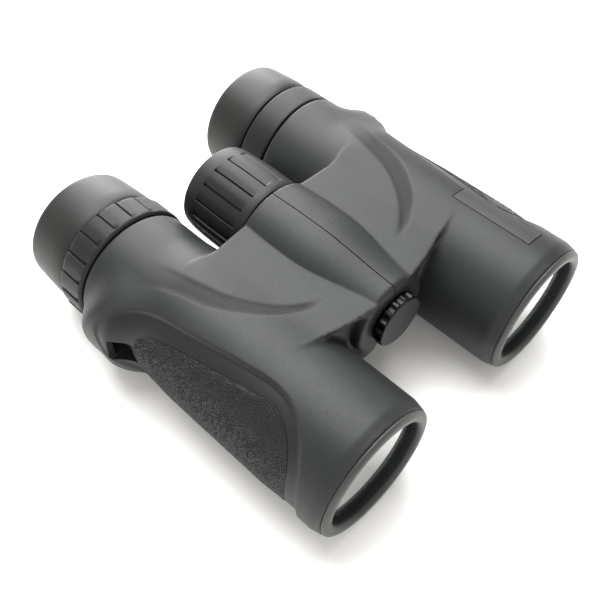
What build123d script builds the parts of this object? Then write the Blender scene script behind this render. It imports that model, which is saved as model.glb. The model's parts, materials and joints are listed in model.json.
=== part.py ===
"""Roof prism binoculars, 8x32 class: two hinged halves, centre focus, twist-up eyecups.

Axes: X across the barrels (+X is the user's left barrel), Y along the sight line with the
objectives at -Y and the eyecups at +Y, Z up. The origin is under the middle of the box, on
the surface that the binoculars lie on. Rest pose: barrels at their widest spacing.
"""
from build123d import *
import math
import os

# ---------------------------------------------------------------- driving dimensions (mm)
overall_length = 128.4
barrel_spacing = 74.0
tube_radius = 22.0          # rubber-covered objective tube
rubber = 2.0                # armour thickness on the tube
hinge_rise = 9.0            # hinge axis above the barrel axes
clear_aperture = 16.0       # visible radius of the objective
widest_fold = 58.0          # degrees between the halves from widest to narrowest

half_spacing = barrel_spacing / 2
axis_height = tube_radius
hinge_height = axis_height + hinge_rise
front = -overall_length / 2

fit = 0.05                  # radial clearance of a running or a slip fit
gap = 0.3                   # clearance between pieces that only pass each other

# stations along Y, measured back from the front rim
hood_end = front + 4.0
housing_front = hood_end
plateau_front = front + 28.0
plateau_rear = front + 76.0
neck_front = front + 72.0
housing_rear = front + 99.6
armour_rear = front + 100.2
ring_rear = front + 110.4
rear = front + overall_length

# radii round a barrel axis
hood_bore = 17.3
housing_radius = tube_radius - rubber
housing_bore = 18.0
neck_radius = 18.3
neck_bore = 17.1
neck_armour_radius = 20.8
eyepiece_radius = 16.0
eyepiece_bore = 14.6

# hinge
knuckle_radius = 9.0
knuckle_clearance = 9.5
axle_radius = 4.0
axle_bore = 2.95
knuckle_gap = 0.5
front_knuckle_end = front + 44.0
middle_knuckle_end = front + 50.2
rear_knuckle_start = front + 64.8
traveller_middle = front + 57.5
socket_radius = 7.9
socket_rear = front + 39.1
nut_room_radius = 6.05
nut_room_rear = front + 42.6
web_angle = widest_fold / 2 + 2.0   # each half is cut back this far from straight down

# focus
focus_travel = 3.0
spindle_radius = 1.5
spool_radius = 8.4
spool_length = 6.4
groove_width = 2.4
groove_radius = 5.2
arm_thickness = 2.2
arm_width = 5.0
wheel_front = front + 76.8
wheel_rear = front + 102.0
wheel_radius = 15.3
wheel_hub_radius = 13.0

sides = (("left", 1), ("right", -1))


# ---------------------------------------------------------------- helpers
def turn(x, height, inner, outer, start, end, mode=Mode.ADD):
    """A plain turned ring round the Y-parallel axis through (x, height)."""
    with BuildSketch(Plane.XY.offset(height)) as profile:
        with Locations((x + (inner + outer) / 2, (start + end) / 2)):
            Rectangle(outer - inner, end - start)
    revolve(profile.sketch, axis=Axis((x, 0, height), (0, 1, 0)), mode=mode)


def radial_plane(x, height, degrees):
    """The plane through a barrel axis whose local x points out at the given angle."""
    cosine = math.cos(math.radians(degrees))
    sine = math.sin(math.radians(degrees))
    return Plane(origin=(x, 0, height), x_dir=(cosine, 0, sine), z_dir=(-sine, 0, cosine))


def outward(side, degrees):
    """Angle from +X of a direction that is so many degrees above straight outward."""
    return degrees if side > 0 else 180 - degrees


def sector(x, side, middle, span, inner, outer, start, end, mode=Mode.ADD):
    """A curved plate round a barrel, centred at an angle above straight outward."""
    begin = outward(side, middle) + span / 2
    with BuildSketch(radial_plane(x, axis_height, begin)) as profile:
        with Locations(((inner + outer) / 2, (start + end) / 2)):
            Rectangle(outer - inner, end - start)
    barrel_axis = Axis((x, 0, axis_height), (0, 1, 0))
    revolve(profile.sketch, axis=barrel_axis, revolution_arc=span, mode=mode)


def lens(x, radius, front_edge, rear_edge, front_bulge, rear_bulge):
    """A round lens; a positive bulge swells outward from its edge."""
    with BuildSketch(Plane.XY.offset(axis_height)) as profile:
        with BuildLine():
            nose = (x, front_edge - front_bulge)
            tail = (x, rear_edge + rear_bulge)
            TangentArc(nose, (x + radius, front_edge), tangent=(1, 0))
            Line((x + radius, front_edge), (x + radius, rear_edge))
            TangentArc(tail, (x + radius, rear_edge), tangent=(1, 0))
            Line(tail, nose)
        make_face()
    revolve(profile.sketch, axis=Axis((x, 0, axis_height), (0, 1, 0)))


def web_section(side, points, start, end, mode=Mode.ADD):
    """Extrude an outline given as (distance from the seam, height over the barrel axis)."""
    with BuildSketch(Plane.XZ.offset(-end)) as profile:
        Polygon(*[(side * u, axis_height + v) for u, v in points], align=None)
    extrude(profile.sketch, amount=end - start, mode=mode)


def wedge_point(distance, inset=0):
    """A point so far from the hinge axis, on or behind the line where a half is cut back."""
    sine = math.sin(math.radians(web_angle))
    cosine = math.cos(math.radians(web_angle))
    return distance * sine + inset * cosine, hinge_rise - distance * cosine + inset * sine


def slot_block(side, outer, start, end):
    """Cut part of the strap slot, from its floor out to a distance from the barrel axis."""
    with BuildSketch(Plane.XZ.offset(-end)) as profile:
        middle = half_spacing + (slot_inner + outer) / 2
        with Locations((side * middle, axis_height + lug_rise)):
            Rectangle(outer - slot_inner, 2 * slot_half_height)
    extrude(profile.sketch, amount=end - start, mode=Mode.SUBTRACT)


def strap_loop(side, mode=Mode.ADD):
    """The metal loop that carries the strap bar, standing out of a housing."""
    inner = half_spacing + neck_radius - 0.2
    outer = half_spacing + lug_outer - lug_bar
    with BuildSketch(Plane.XZ.offset(-lug_rear)) as profile:
        middle = half_spacing + (lug_inner + lug_outer) / 2
        with Locations((side * middle, axis_height + lug_rise)):
            Rectangle(lug_outer - lug_inner, 2 * lug_half_height)
        fillet(profile.vertices().group_by(Axis.X)[-1 if side > 0 else 0], 1.5)
        with Locations((side * (inner + outer) / 2, axis_height + lug_rise)):
            Rectangle(outer - inner, 2 * (lug_half_height - lug_bar), mode=Mode.SUBTRACT)
    extrude(profile.sketch, amount=lug_rear - lug_front, mode=mode)


def arm_slot(side):
    """Cut the slot in which the focusing arm slides, from the barrel to the hinge."""
    length = 2 * (focus_travel + gap) + arm_thickness
    reach = arm_reach - 6
    inner = 16.5
    with BuildSketch(radial_plane(side * half_spacing, axis_height, outward(side, 180 - arm_angle))) as slot:
        with Locations(((inner + reach) / 2, traveller_middle)):
            Rectangle(reach - inner, length)
    extrude(slot.sketch, amount=arm_width / 2 + gap, both=True, mode=Mode.SUBTRACT)


def finish(part, name):
    part.label = name
    export_step(part, f"parts/{name}.step")


os.makedirs("parts", exist_ok=True)

hinge_axis = Axis((0, 0, hinge_height), (0, 1, 0))
arm_angle = math.degrees(math.atan2(hinge_rise, half_spacing))
arm_reach = math.hypot(half_spacing, hinge_rise)

web_outline = [
    (1.5, 17.9), (30.0, 17.9), (half_spacing, 8.0), (half_spacing, -8.0), (20.0, -7.0),
    wedge_point(12.5, 1.3), wedge_point(knuckle_radius, 1.3),
]
knuckle_web = [(0.4, 17.0), (12.0, 17.0), (12.0, 2.0), wedge_point(knuckle_radius), (2.0, 6.0)]
armour_outline = [
    (gap / 2, 20.3), (33.0, 20.3), (half_spacing, 15.0), (half_spacing, -15.0), (21.5, -9.6),
    wedge_point(14.9), wedge_point(knuckle_clearance),
]

# ---------------------------------------------------------------- housings
# Each half has a barrel tube, a bridge with the hinge knuckles and a loop under its strap bar.
left_knuckles = ((socket_rear, front_knuckle_end), (rear_knuckle_start, plateau_rear))
right_knuckles = ((front_knuckle_end + knuckle_gap, middle_knuckle_end),)
own_knuckles = {"left": left_knuckles, "right": right_knuckles}
bridge_front = front + 38.0
bridge_rear = front + 73.0
knuckle_web_front = plateau_front + 1.5
knuckle_web_rear = plateau_rear - 1.5
ledge_front = front + 64.2
ledge_rear = front + 66.0
screw_offset = 12.6
lug_front = front + 85.0
lug_rear = front + 90.0
lug_rise = 1.0
lug_inner = 16.1
lug_outer = 23.9
lug_half_height = 5.9
lug_bar = 0.9

for name, side in sides:
    x = side * half_spacing
    with BuildPart() as housing:
        turn(x, axis_height, 0, housing_radius, housing_front, neck_front)
        turn(x, axis_height, 0, neck_radius, neck_front, housing_rear)
        turn(x, axis_height, 0, housing_bore, housing_front, ledge_front, mode=Mode.SUBTRACT)
        turn(x, axis_height, 0, 15.5, ledge_front, ledge_rear, mode=Mode.SUBTRACT)
        turn(x, axis_height, 0, neck_bore, ledge_rear, housing_rear, mode=Mode.SUBTRACT)
        arm_slot(side)
        # tapped holes for the two prism screws, in the ledge
        for across in (-screw_offset, screw_offset):
            turn(x + across, axis_height, 0, 0.85, ledge_front, ledge_rear, mode=Mode.SUBTRACT)
    finish(housing.part, f"{name}_housing")

    with BuildPart() as bridge:
        web_section(side, web_outline, bridge_front, bridge_rear)
        # the other half's knuckles and the traveller turn inside this cut
        turn(0, hinge_height, 0, knuckle_clearance, front, rear, mode=Mode.SUBTRACT)
        for start, end in own_knuckles[name]:
            turn(0, hinge_height, 0, knuckle_radius, start, end)
            web_section(side, knuckle_web, max(start, knuckle_web_front), min(end, knuckle_web_rear))
        turn(x, axis_height, 0, housing_radius, front, rear, mode=Mode.SUBTRACT)
        bore = axle_radius + (fit if side < 0 else 0.02)
        turn(0, hinge_height, 0, bore, front, rear, mode=Mode.SUBTRACT)
        if side > 0:
            turn(0, hinge_height, 0, nut_room_radius, front, nut_room_rear, mode=Mode.SUBTRACT)
        arm_slot(side)
    finish(bridge.part, f"{name}_bridge")

    with BuildPart() as strap_ring:
        strap_loop(side)
        turn(x, axis_height, 0, neck_radius, front, rear, mode=Mode.SUBTRACT)
    finish(strap_ring.part, f"{name}_strap_loop")

# ---------------------------------------------------------------- armour
# Rubber shell of a half with its side of the hinge cover, shoulder and strap bar.
grip_middle = -3.0
grip_span = 98.0
grip_front = front + 16.0
grip_rear = front + 71.0
grip_inner = tube_radius - 1.0
slot_front = front + 75.0
slot_rear = front + 98.2
slot_inner = 18.9
slot_outer = 23.0
slot_half_height = 5.0
bar_front = front + 82.5
bar_rear = front + 92.5
plate_front = front + 10.2
plate_rear = front + 37.8
cover_radius = 16.1

for name, side in sides:
    x = side * half_spacing
    with BuildPart() as armour:
        # tube with a rounded lip, a shallow crease and a drop to the neck
        with BuildSketch(Plane.XY.offset(axis_height)):
            with BuildLine():
                Polyline((x + hood_bore, hood_end), (x + hood_bore, front + 1.0))
                ThreePointArc(
                    (x + hood_bore, front + 1.0),
                    (x + (hood_bore + 20.8) / 2, front),
                    (x + 20.8, front + 1.2),
                )
                ThreePointArc(
                    (x + 20.8, front + 1.2),
                    (x + 21.4, front + 3.0),
                    (x + tube_radius, front + 5.0),
                )
                Line((x + tube_radius, front + 5.0), (x + tube_radius, front + 74.0))
                ThreePointArc(
                    (x + tube_radius, front + 74.0),
                    (x + 21.3, front + 78.0),
                    (x + neck_armour_radius, front + 82.0),
                )
                Polyline(
                    (x + neck_armour_radius, front + 82.0),
                    (x + 20.4, armour_rear),
                    (x, armour_rear),
                    (x, hood_end),
                    (x + hood_bore, hood_end),
                )
            make_face()
        revolve(axis=Axis((x, 0, axis_height), (0, 1, 0)))
        web_section(side, armour_outline, plateau_front, plateau_rear)
        # shoulder over the outer side, then the higher strap lobe on it
        for middle, span, peak, start, end in ((0, 116, 23.8, 76.0, 99.5), (-9, 58, 25.8, 73.5, 100.0)):
            begin = outward(side, middle) + span / 2
            with BuildSketch(radial_plane(x, axis_height, begin)):
                with BuildLine():
                    ThreePointArc((20.4, front + start), (peak, front + 87.5), (20.4, front + end))
                    Line((20.4, front + end), (20.4, front + start))
                make_face()
            revolve(axis=Axis((x, 0, axis_height), (0, 1, 0)), revolution_arc=span)
        # this half's side of the hinge cover, turned round the hinge axis
        cover_plane = radial_plane(0, hinge_height, outward(side, 90) if side > 0 else 128)
        with BuildSketch(cover_plane):
            with BuildLine():
                Polyline(
                    (cover_radius, plateau_rear),
                    (8.0, plateau_rear),
                    (8.0, plateau_front),
                    (13.2, plateau_front),
                )
                ThreePointArc(
                    (13.2, plateau_front),
                    (15.3, front + 36.0),
                    (cover_radius, front + 50.0),
                )
                Line((cover_radius, front + 50.0), (cover_radius, plateau_rear))
            make_face()
        revolve(axis=hinge_axis, revolution_arc=38)
        web_section(side, [(gap / 2 - 20, -30), (gap / 2, -30), (gap / 2, 30), (gap / 2 - 20, 30)],
                    front, rear, mode=Mode.SUBTRACT)
        turn(0, hinge_height, 0, knuckle_clearance + 0.1, front, rear, mode=Mode.SUBTRACT)
        # room for the housing
        turn(x, axis_height, 0, housing_radius, housing_front, neck_front, mode=Mode.SUBTRACT)
        turn(x, axis_height, 0, neck_radius, neck_front, armour_rear, mode=Mode.SUBTRACT)
        web_section(side, web_outline, bridge_front, bridge_rear, mode=Mode.SUBTRACT)
        for start, end in own_knuckles[name]:
            web_section(side, knuckle_web, max(start, knuckle_web_front), min(end, knuckle_web_rear),
                        mode=Mode.SUBTRACT)
        strap_loop(side, mode=Mode.SUBTRACT)
        # slot for the strap: a tunnel under the bar, open before and behind it
        slot_block(side, slot_outer, slot_front, slot_rear)
        slot_block(side, 30, slot_front, bar_front)
        slot_block(side, 30, bar_rear, slot_rear)
        sector(x, side, grip_middle, grip_span, grip_inner, 30, grip_front, grip_rear,
               mode=Mode.SUBTRACT)
        if side > 0:
            sector(x, side, 76.5, 20.0, 21.4, 24, plate_front, plate_rear, mode=Mode.SUBTRACT)
    finish(armour.part, f"{name}_armour")


# ---------------------------------------------------------------- things set in the armour
for name, side in sides:
    x = side * half_spacing
    with BuildPart() as grip_panel:
        sector(x, side, grip_middle, grip_span - 0.6, grip_inner + 0.02, tube_radius + 0.1,
               grip_front + 0.15, grip_rear - 0.15)
    finish(grip_panel.part, f"{name}_grip_panel")

with BuildPart() as name_plate:
    sector(half_spacing, 1, 76.5, 19.4, 21.42, tube_radius + 0.05, plate_front + 0.15, plate_rear - 0.15)
finish(name_plate.part, "name_plate")

# ---------------------------------------------------------------- objectives
glass_front = front + 3.0
ring_seat = front + 4.1
lens_seat = front + 5.0
cell_rear = front + 21.0
lens_radius = 16.9

for name, side in sides:
    x = side * half_spacing
    with BuildPart() as objective_ring:
        turn(x, axis_height, clear_aperture, housing_bore - fit, ring_seat, lens_seat - 0.1)
        chamfer(objective_ring.edges().group_by(Axis.Y)[0].sort_by(SortBy.LENGTH)[0], 0.5)
    finish(objective_ring.part, f"{name}_objective_ring")

    with BuildPart() as objective_crown:
        lens(x, lens_radius, lens_seat + 0.1, lens_seat + 3.1, 0.1, 1.6)
        # front step, which stands through the ring into the hood
        lens(x, clear_aperture - fit, glass_front, lens_seat + 0.5, 0.1, 0.1)
    finish(objective_crown.part, f"{name}_objective_crown")

    with BuildPart() as objective_flint:
        lens(x, lens_radius, lens_seat + 3.15, lens_seat + 5.4, -1.6, -0.5)
    finish(objective_flint.part, f"{name}_objective_flint")

    with BuildPart() as objective_cell:
        turn(x, axis_height, lens_radius + fit, housing_bore - fit, lens_seat, cell_rear)
        turn(x, axis_height, 15.4, lens_radius + 0.5, lens_seat + 5.45, lens_seat + 7.0)
        # groove for the seal
        turn(x, axis_height, 17.25, 18.5, front + 16.0, front + 17.6, mode=Mode.SUBTRACT)
    finish(objective_cell.part, f"{name}_objective_cell")

    with BuildPart() as objective_seal:
        turn(x, axis_height, 17.3, housing_bore - 0.02, front + 16.05, front + 17.55)
        fillet(objective_seal.edges(), 0.3)
    finish(objective_seal.part, f"{name}_objective_seal")

# ---------------------------------------------------------------- focusing lenses
carrier_front = traveller_middle - 3.2
carrier_rear = traveller_middle + 3.2

for name, side in sides:
    x = side * half_spacing
    with BuildPart() as focus_carrier:
        turn(x, axis_height, 14.6, housing_bore - fit, carrier_front, carrier_rear)
        turn(x, axis_height, 12.6, 14.7, carrier_rear - 1.2, carrier_rear)
        # arm that reaches into the traveller's groove
        with BuildSketch(radial_plane(x, axis_height, outward(side, 180 - arm_angle))):
            with Locations(((16.0 + arm_reach - groove_radius - gap) / 2, traveller_middle)):
                Rectangle(arm_reach - groove_radius - gap - 16.0, arm_thickness)
        extrude(amount=arm_width / 2, both=True)
    finish(focus_carrier.part, f"{name}_focus_carrier")

    with BuildPart() as focus_lens:
        lens(x, 14.55, carrier_front + 0.5, carrier_rear - 1.25, -0.8, -1.0)
    finish(focus_lens.part, f"{name}_focus_lens")

# ---------------------------------------------------------------- prisms
# Schmidt-Pechan pair: outlines in the plane of the sight line and Z, light running towards +Y.
prism_front = front + 68.0
prism_half_width = 9.0
aperture = 18.0
air_gap = 0.1
roof_face = 26.0
roof_exit = 20.1
holder_front = ledge_rear + 0.1
holder_rear = front + 92.0

for name, side in sides:
    x = side * half_spacing
    edge = Plane(origin=(x, prism_front, axis_height), x_dir=(0, 1, 0), z_dir=(1, 0, 0))
    diagonal = math.sin(math.radians(45))
    with BuildPart() as half_penta_prism:
        with BuildSketch(edge):
            Polygon(
                (0, aperture / 2),
                (0, -aperture / 2),
                (aperture / 2, -aperture / 2 - aperture / 2 * math.tan(math.radians(22.5))),
                (aperture * diagonal, aperture / 2 - aperture * diagonal),
                align=None,
            )
        extrude(amount=prism_half_width, both=True)
    finish(half_penta_prism.part, f"{name}_half_penta_prism")

    apex = (roof_exit, aperture / 2 + air_gap * 1.5 - roof_exit)
    top = (roof_exit, apex[1] + roof_face)
    shoulder = (roof_exit - roof_face * diagonal, apex[1] + roof_face * diagonal)
    with BuildPart() as roof_prism:
        with BuildSketch(edge):
            Polygon(apex, top, shoulder, align=None)
        extrude(amount=prism_half_width, both=True)
        # two roof faces meet at right angles over the side between the square faces
        run = Vector(0, top[0] - shoulder[0], top[1] - shoulder[1]).normalized()
        up = Vector(0, -run.Z, run.Y)
        ridge = Vector(x, prism_front + top[0], axis_height + top[1])
        for lean in (-1, 1):
            roof_normal = (up + Vector(lean, 0, 0)).normalized()
            split(bisect_by=Plane(origin=ridge, z_dir=roof_normal), keep=Keep.BOTTOM)
    finish(roof_prism.part, f"{name}_roof_prism")

    with BuildPart() as prism_holder:
        turn(x, axis_height, 0, neck_bore - 0.06, holder_front, holder_rear)
        with BuildSketch(Plane.XZ.offset(-(holder_rear - 1.2))):
            with Locations((x, axis_height)):
                Rectangle(2 * prism_half_width + 0.1, 60)
        extrude(amount=holder_rear - holder_front - 2.4, mode=Mode.SUBTRACT)
        turn(x, axis_height, 0, 8.6, holder_front, holder_rear, mode=Mode.SUBTRACT)
        for across in (-screw_offset, screw_offset):
            turn(x + across, axis_height, 0, 0.9, holder_front, holder_rear, mode=Mode.SUBTRACT)
            turn(x + across, axis_height, 0, 1.7, holder_rear - 1.5, holder_rear, mode=Mode.SUBTRACT)
    finish(prism_holder.part, f"{name}_prism_holder")

    with BuildPart() as prism_screws:
        for across in (-screw_offset, screw_offset):
            turn(x + across, axis_height, 0, 0.8, ledge_front + 0.1, holder_rear - 1.4)
            turn(x + across, axis_height, 0, 1.6, holder_rear - 1.45, holder_rear - 0.1)
    finish(prism_screws.part, f"{name}_prism_screws")

# ---------------------------------------------------------------- eyepieces
flange_front = front + 92.6
flange_rear = front + 96.0
field_front = front + 97.6
diopter_travel = 1.5
ring_front = armour_rear + 0.4
eye_seat = front + 113.0
tube_rear = front + 124.0
pin_radius = 0.9
pin_reach = 17.9
diopter_cell_radius = eyepiece_bore - fit

for name, side in sides:
    x = side * half_spacing
    with BuildPart() as eyepiece_tube:
        turn(x, axis_height, eyepiece_bore, eyepiece_radius, flange_front, tube_rear)
        turn(x, axis_height, eyepiece_bore, neck_bore - 0.03, flange_front, flange_rear)
        turn(x, axis_height, 13.0, eyepiece_bore + 0.1, eye_seat - 1.5, eye_seat - 0.4)
        if name == "left":
            turn(x, axis_height, 13.4, eyepiece_bore + 0.1, field_front - 1.4, field_front - 0.3)
        else:
            # slot that lets the correction cell's pin slide
            turn_plane = Plane.XY.offset(axis_height)
            with BuildSketch(turn_plane):
                with Locations((x, field_front + 7.0)):
                    SlotOverall(2 * (diopter_travel + pin_radius + 0.2), 2 * pin_radius + 0.2, 90)
            extrude(amount=20, mode=Mode.SUBTRACT)
    finish(eyepiece_tube.part, f"{name}_eyepiece_tube")

    lens_fit = 0.05 if name == "left" else 1.2
    with BuildPart() as field_lens:
        lens(x, eyepiece_bore - lens_fit, field_front + 0.05, field_front + 3.6, 1.0, 1.3)
    finish(field_lens.part, f"{name}_field_lens")

    with BuildPart() as eye_lens:
        lens(x, eyepiece_bore - 0.1, eye_seat + 0.05, eye_seat + 2.6, 1.2, 1.8)
    finish(eye_lens.part, f"{name}_eye_lens")

    with BuildPart() as eye_lens_ring:
        turn(x, axis_height, 11.5, eyepiece_bore - 0.03, tube_rear - 3.0, tube_rear - 1.0)
        turn(x, axis_height, 13.4, eyepiece_bore - 0.03, eye_seat + 3.0, tube_rear - 2.9)
        chamfer(eye_lens_ring.edges().group_by(Axis.Y)[-1].sort_by(SortBy.LENGTH)[0], 1.0)
    finish(eye_lens_ring.part, f"{name}_eye_lens_ring")

with BuildPart() as left_eyepiece_ring:
    turn(half_spacing, axis_height, eyepiece_radius + 0.05, 20.4, armour_rear, ring_rear - 0.3)
    fillet(left_eyepiece_ring.edges().group_by(Axis.Y)[-1].sort_by(SortBy.LENGTH)[-1], 0.6)
finish(left_eyepiece_ring.part, "left_eyepiece_ring")

with BuildPart() as right_diopter_cell:
    turn(-half_spacing, axis_height, 13.45, diopter_cell_radius, field_front, field_front + 9.0)
    turn(-half_spacing, axis_height, 12.4, 13.5, field_front + 4.8, field_front + 5.8)
    with BuildSketch(Plane.XY.offset(axis_height + 14.0)):
        with Locations((-half_spacing, field_front + 7.0)):
            Circle(pin_radius)
    extrude(amount=pin_reach - 14.0)
finish(right_diopter_cell.part, "right_diopter_cell")

rib_count = 19
rib_start = 27.1
rib_width = 5.0
rib_height = 1.3
rib_length = 6.8
ring_land = 1.6
ring_radius = 20.3
with BuildPart() as right_diopter_ring:
    turn(-half_spacing, axis_height, eyepiece_radius + fit, ring_radius, ring_front, ring_rear - 0.3)
    # room for the pin over its whole travel
    pin_start = field_front + 7.0 - diopter_travel - pin_radius - 0.3
    pin_end = field_front + 7.0 + diopter_travel + pin_radius + 0.3
    turn(-half_spacing, axis_height, 15.5, pin_reach + gap, pin_start, pin_end, mode=Mode.SUBTRACT)
    # raised ribs for the fingers
    with BuildSketch(Plane.XZ.offset(-(ring_rear - ring_land))):
        with Locations((-half_spacing, axis_height)):
            with PolarLocations(ring_radius + 0.2, rib_count, start_angle=rib_start):
                Rectangle(rib_height, rib_width)
    extrude(amount=rib_length)
finish(right_diopter_ring.part, "right_diopter_ring")

# ---------------------------------------------------------------- twist-up eyecups
eyecup_rise = 8.0
sleeve_radius = 17.2
cup_front = ring_rear + 0.3
cup_radius = 20.0

for name, side in sides:
    x = side * half_spacing
    with BuildPart() as eyecup_sleeve:
        turn(x, axis_height, eyepiece_radius + fit, sleeve_radius, cup_front, tube_rear)
        # three helical tracks, drawn straight, for the cup's lugs
        with BuildSketch(Plane.XZ.offset(-(tube_rear - 3.0))):
            with Locations((x, axis_height)):
                with PolarLocations(sleeve_radius, 3, start_angle=90):
                    Rectangle(0.8, 4.0)
        extrude(amount=6.0, mode=Mode.SUBTRACT)
    finish(eyecup_sleeve.part, f"{name}_eyecup_sleeve")

    with BuildPart() as eyecup_shell:
        turn(x, axis_height, sleeve_radius + fit, 18.6, cup_front, tube_rear + 2.0)
        turn(x, axis_height, 14.0, 18.6, tube_rear + gap, tube_rear + 2.0)
    finish(eyecup_shell.part, f"{name}_eyecup_shell")

    with BuildPart() as eyecup_rubber:
        turn(x, axis_height, 18.63, cup_radius, cup_front, rear)
        turn(x, axis_height, 14.0, cup_radius, tube_rear + 2.05, rear)
        rim = eyecup_rubber.edges().group_by(Axis.Y)[-1]
        fillet(rim.sort_by(SortBy.LENGTH)[-1], 1.8)
    finish(eyecup_rubber.part, f"{name}_eyecup_rubber")

# ---------------------------------------------------------------- hinge
nut_front = front + 39.4
axle_front = nut_front + 0.4
axle_rear = front + 84.0

with BuildPart() as hinge_axle:
    turn(0, hinge_height, 0, axle_radius, axle_front, axle_rear)
    turn(0, hinge_height, 0, axle_bore, front + 47.0, axle_rear, mode=Mode.SUBTRACT)
    # slots through which the traveller's keys reach the screw
    with BuildSketch(Plane.XY.offset(hinge_height)):
        with Locations((0, traveller_middle)):
            SlotOverall(2 * (focus_travel + gap) + 3.8 + 2.5, 2.5, 90)
    extrude(amount=10, both=True, mode=Mode.SUBTRACT)
finish(hinge_axle.part, "hinge_axle")

with BuildPart() as hinge_nut:
    with BuildSketch(Plane.XZ.offset(-(front + 42.5))):
        with Locations((0, hinge_height)):
            RegularPolygon(5.9, 6)
            Circle(axle_radius + 0.03, mode=Mode.SUBTRACT)
    extrude(amount=nut_room_rear - 0.1 - nut_front)
finish(hinge_nut.part, "hinge_nut")

# ---------------------------------------------------------------- focus drive
with BuildPart() as focus_traveller:
    turn(0, hinge_height, axle_radius + fit, spool_radius, traveller_middle - spool_length / 2,
         traveller_middle + spool_length / 2)
    turn(0, hinge_height, groove_radius, spool_radius + 1, traveller_middle - groove_width / 2,
         traveller_middle + groove_width / 2, mode=Mode.SUBTRACT)
    # nut on the screw, joined to the spool by two keys
    turn(0, hinge_height, spindle_radius + fit, axle_bore - fit, traveller_middle - 1.9,
         traveller_middle + 1.9)
    with BuildSketch(Plane.XY.offset(hinge_height)):
        with Locations((0, traveller_middle)):
            Rectangle(2.4, 3.8)
    extrude(amount=groove_radius - 0.3, both=True)
    turn(0, hinge_height, 0, spindle_radius + fit, front, rear, mode=Mode.SUBTRACT)
finish(focus_traveller.part, "focus_traveller")

hub_front = wheel_front + 0.3
hub_rear = wheel_rear - 1.4
with BuildPart() as focus_spindle:
    turn(0, hinge_height, 0, spindle_radius, traveller_middle - 6.0, axle_rear + 1.0)
    turn(0, hinge_height, 1.25, 2.7, axle_rear + 1.0, hub_rear - 2.8)
finish(focus_spindle.part, "focus_spindle")

with BuildPart() as focus_wheel_hub:
    turn(0, hinge_height, 0, wheel_hub_radius, hub_front, hub_rear)
    turn(0, hinge_height, 0, axle_radius + fit, hub_front, axle_rear + 0.9, mode=Mode.SUBTRACT)
    turn(0, hinge_height, 0, 2.73, axle_rear, hub_rear, mode=Mode.SUBTRACT)
    turn(0, hinge_height, 6.4, 11.4, hub_front + 1.6, hub_rear - 4.5, mode=Mode.SUBTRACT)
    turn(0, hinge_height, 0, 10.5, hub_rear - 1.2, hub_rear, mode=Mode.SUBTRACT)
    turn(0, hinge_height, 0, 4.3, hub_rear - 2.7, hub_rear, mode=Mode.SUBTRACT)
finish(focus_wheel_hub.part, "focus_wheel_hub")

with BuildPart() as focus_wheel_screw:
    turn(0, hinge_height, 0, 1.2, hub_rear - 8.0, hub_rear - 2.6)
    turn(0, hinge_height, 0, 4.2, hub_rear - 2.65, hub_rear - 1.25)
finish(focus_wheel_screw.part, "focus_wheel_screw")

with BuildPart() as focus_wheel_cap:
    turn(0, hinge_height, 0, 10.45, hub_rear - 1.15, hub_rear - 0.1)
finish(focus_wheel_cap.part, "focus_wheel_cap")

pad_count = 17
pad_start = 87.0
groove_land = 3.2
groove_length = 18.6
with BuildPart() as focus_wheel_grip:
    turn(0, hinge_height, wheel_hub_radius + 0.03, wheel_radius, wheel_front, wheel_rear)
    fillet(focus_wheel_grip.edges().group_by(Axis.Y)[-1].sort_by(SortBy.LENGTH)[-1], 1.4)
    # grooves between the finger pads
    with BuildSketch(Plane.XZ.offset(-(wheel_rear - groove_land))):
        with Locations((0, hinge_height)):
            with PolarLocations(wheel_radius, pad_count, start_angle=pad_start):
                Rectangle(1.2, 1.0)
    extrude(amount=groove_length, mode=Mode.SUBTRACT)
finish(focus_wheel_grip.part, "focus_wheel_grip")

# ---------------------------------------------------------------- tripod socket and its cap
thread_radius = 3.175
counterbore_radius = 3.9
counterbore_depth = 2.6
cap_front = front + 24.2
cap_radius = 8.9

with BuildPart() as tripod_socket:
    turn(0, hinge_height, 0, socket_radius, plateau_front + 0.1, socket_rear)
    turn(0, hinge_height, 0, thread_radius, plateau_front, nut_front - 1.6, mode=Mode.SUBTRACT)
    turn(0, hinge_height, 0, counterbore_radius, plateau_front,
         plateau_front + counterbore_depth, mode=Mode.SUBTRACT)
finish(tripod_socket.part, "tripod_socket")

scallop_count = 16
scallop_radius = 1.3
scallop_depth = 0.7
with BuildPart() as tripod_cap:
    turn(0, hinge_height, 0, cap_radius, cap_front, plateau_front - 0.3)
    turn(0, hinge_height, 0, counterbore_radius - fit, plateau_front - 0.4,
         plateau_front + counterbore_depth - 0.4)
    with BuildSketch(Plane.XZ.offset(-(plateau_front - 0.9))):
        with Locations((0, hinge_height)):
            with PolarLocations(cap_radius + scallop_radius - scallop_depth, scallop_count):
                Circle(scallop_radius)
    extrude(amount=2.2, mode=Mode.SUBTRACT)
    chamfer(tripod_cap.edges().group_by(Axis.Y)[0], 0.4)
finish(tripod_cap.part, "tripod_cap")
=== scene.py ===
"""Binoculars: moulded rubber armour, grained grips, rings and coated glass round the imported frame.

Lengths below are in millimetres in the object's own terms: x is the distance from the seam
between the halves, y the distance behind the front rims and z the height over the barrel axes.
Angles round a barrel are degrees above straight outward. Pieces are turned into metres in the
CAD frame as they are made.
"""
import json
import math

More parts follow.
